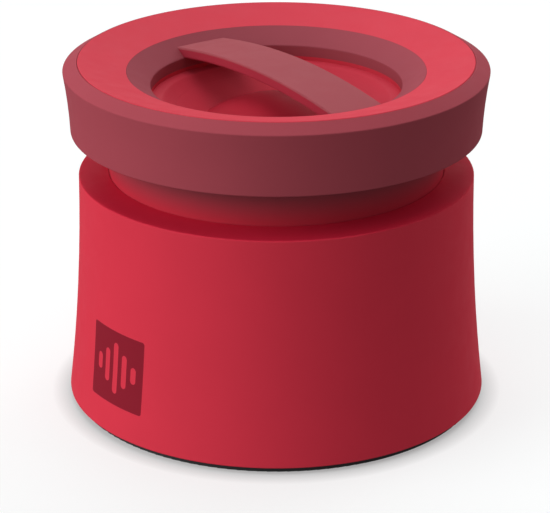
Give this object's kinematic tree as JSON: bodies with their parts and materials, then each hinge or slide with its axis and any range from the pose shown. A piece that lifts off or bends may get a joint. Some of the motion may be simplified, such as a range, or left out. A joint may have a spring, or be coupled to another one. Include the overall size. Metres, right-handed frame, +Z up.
{
  "type": "portable wireless speaker",
  "caption": "Small round portable speaker with a flared body, a pop-up cap on a sliding neck, an open driver and an arched carry strap across it.",
  "frame": {"origin": "middle of the foot's underside", "axes": "+Z up out of the driver, front badge towards -Y, keys and charging socket towards +Y, carry strap along X"},
  "size_m": [0.0644, 0.0644, 0.0534],
  "materials": {
    "body_red": "fine satin moulded surface",
    "ring_red": "fine satin moulded surface",
    "driver_red": "dyed paper and foam, matt",
    "cap_maroon": "soft-touch matt",
    "strap_maroon": "soft-touch matt skin",
    "badge_maroon": "satin inlay",
    "key_maroon": "satin",
    "black_rubber": "matt",
    "black_plastic": "matt",
    "screw_steel": "zinc plated",
    "basket_steel": "plated",
    "magnet_grey": "nickel plated",
    "winding_copper": "enamelled wire",
    "former_film": "polyimide film",
    "spider_cloth": "resin-treated cloth",
    "board_green": "solder mask",
    "socket_steel": "tin plated",
    "capacitor_can": "bright can",
    "connector_white": "plain",
    "terminal_brown": "phenolic sheet",
    "battery_foil": "laminated foil pouch",
    "foam_tape": "double-sided foam tape",
    "lead_red": "insulated wire",
    "clear_plastic": "clear acrylic",
    "led_white": "moulded"
  },
  "bodies": {
    "base": {"foot_pad": "black_rubber", "base_plate": "black_plastic", "base_screws": "screw_steel", "lower_shell": "body_red", "front_badge": "badge_maroon", "battery_pad": "foam_tape", "battery_cell": "battery_foil", "battery_connector": "connector_white", "battery_leads": "lead_red", "main_board": "board_green", "board_screws": "screw_steel", "radio_module": "socket_steel", "amplifier_chip": "black_plastic", "board_chips": "black_plastic", "board_capacitors": "capacitor_can", "speaker_connector": "connector_white", "usb_socket": "socket_steel", "switch_bodies": "black_plastic", "status_led": "led_white", "light_pipe": "clear_plastic", "microphone": "black_plastic"},
    "top": {"cap_shell": "cap_maroon", "strap_core": "body_red", "carry_strap": "strap_maroon", "inner_ring": "cap_maroon", "funnel_ring": "ring_red", "ring_screws": "screw_steel", "cap_screws": "screw_steel", "neck_sleeve": "body_red", "sleeve_seal": "black_rubber", "driver_gasket": "driver_red", "driver_basket": "basket_steel", "surround": "driver_red", "spider": "spider_cloth", "yoke_cup": "basket_steel", "magnet": "magnet_grey", "pole_plate": "basket_steel", "terminal_tab": "terminal_brown", "speaker_leads": "lead_red"},
    "cone": {"cone": "driver_red", "dust_cap": "driver_red", "coil_former": "former_film", "coil_winding": "winding_copper"},
    "volume_down_key": {"volume_down_key": "key_maroon"},
    "play_key": {"play_key": "key_maroon"},
    "volume_up_key": {"volume_up_key": "key_maroon"}
  },
  "joints": [
    {"name": "pop_up", "type": "slide", "parent": "base", "child": "top", "axis": [0, 0, 1], "range_m": [-0.0067, 0], "deforming": ["speaker_leads"]},
    {"name": "cone_stroke", "type": "slide", "parent": "top", "child": "cone", "axis": [0, 0, 1], "range_m": [-0.0006, 0.0006], "stiffness_N_per_m": 1500, "deforming": ["surround", "spider"]},
    {"name": "volume_down_press", "type": "slide", "parent": "base", "child": "volume_down_key", "axis": [-0.309, -0.9511, 0], "range_m": [0, 0.0005], "stiffness_N_per_m": 1500},
    {"name": "play_press", "type": "slide", "parent": "base", "child": "play_key", "axis": [0, -1, 0], "range_m": [0, 0.0005], "stiffness_N_per_m": 1500},
    {"name": "volume_up_press", "type": "slide", "parent": "base", "child": "volume_up_key", "axis": [0.309, -0.9511, 0], "range_m": [0, 0.0005], "stiffness_N_per_m": 1500}
  ]
}
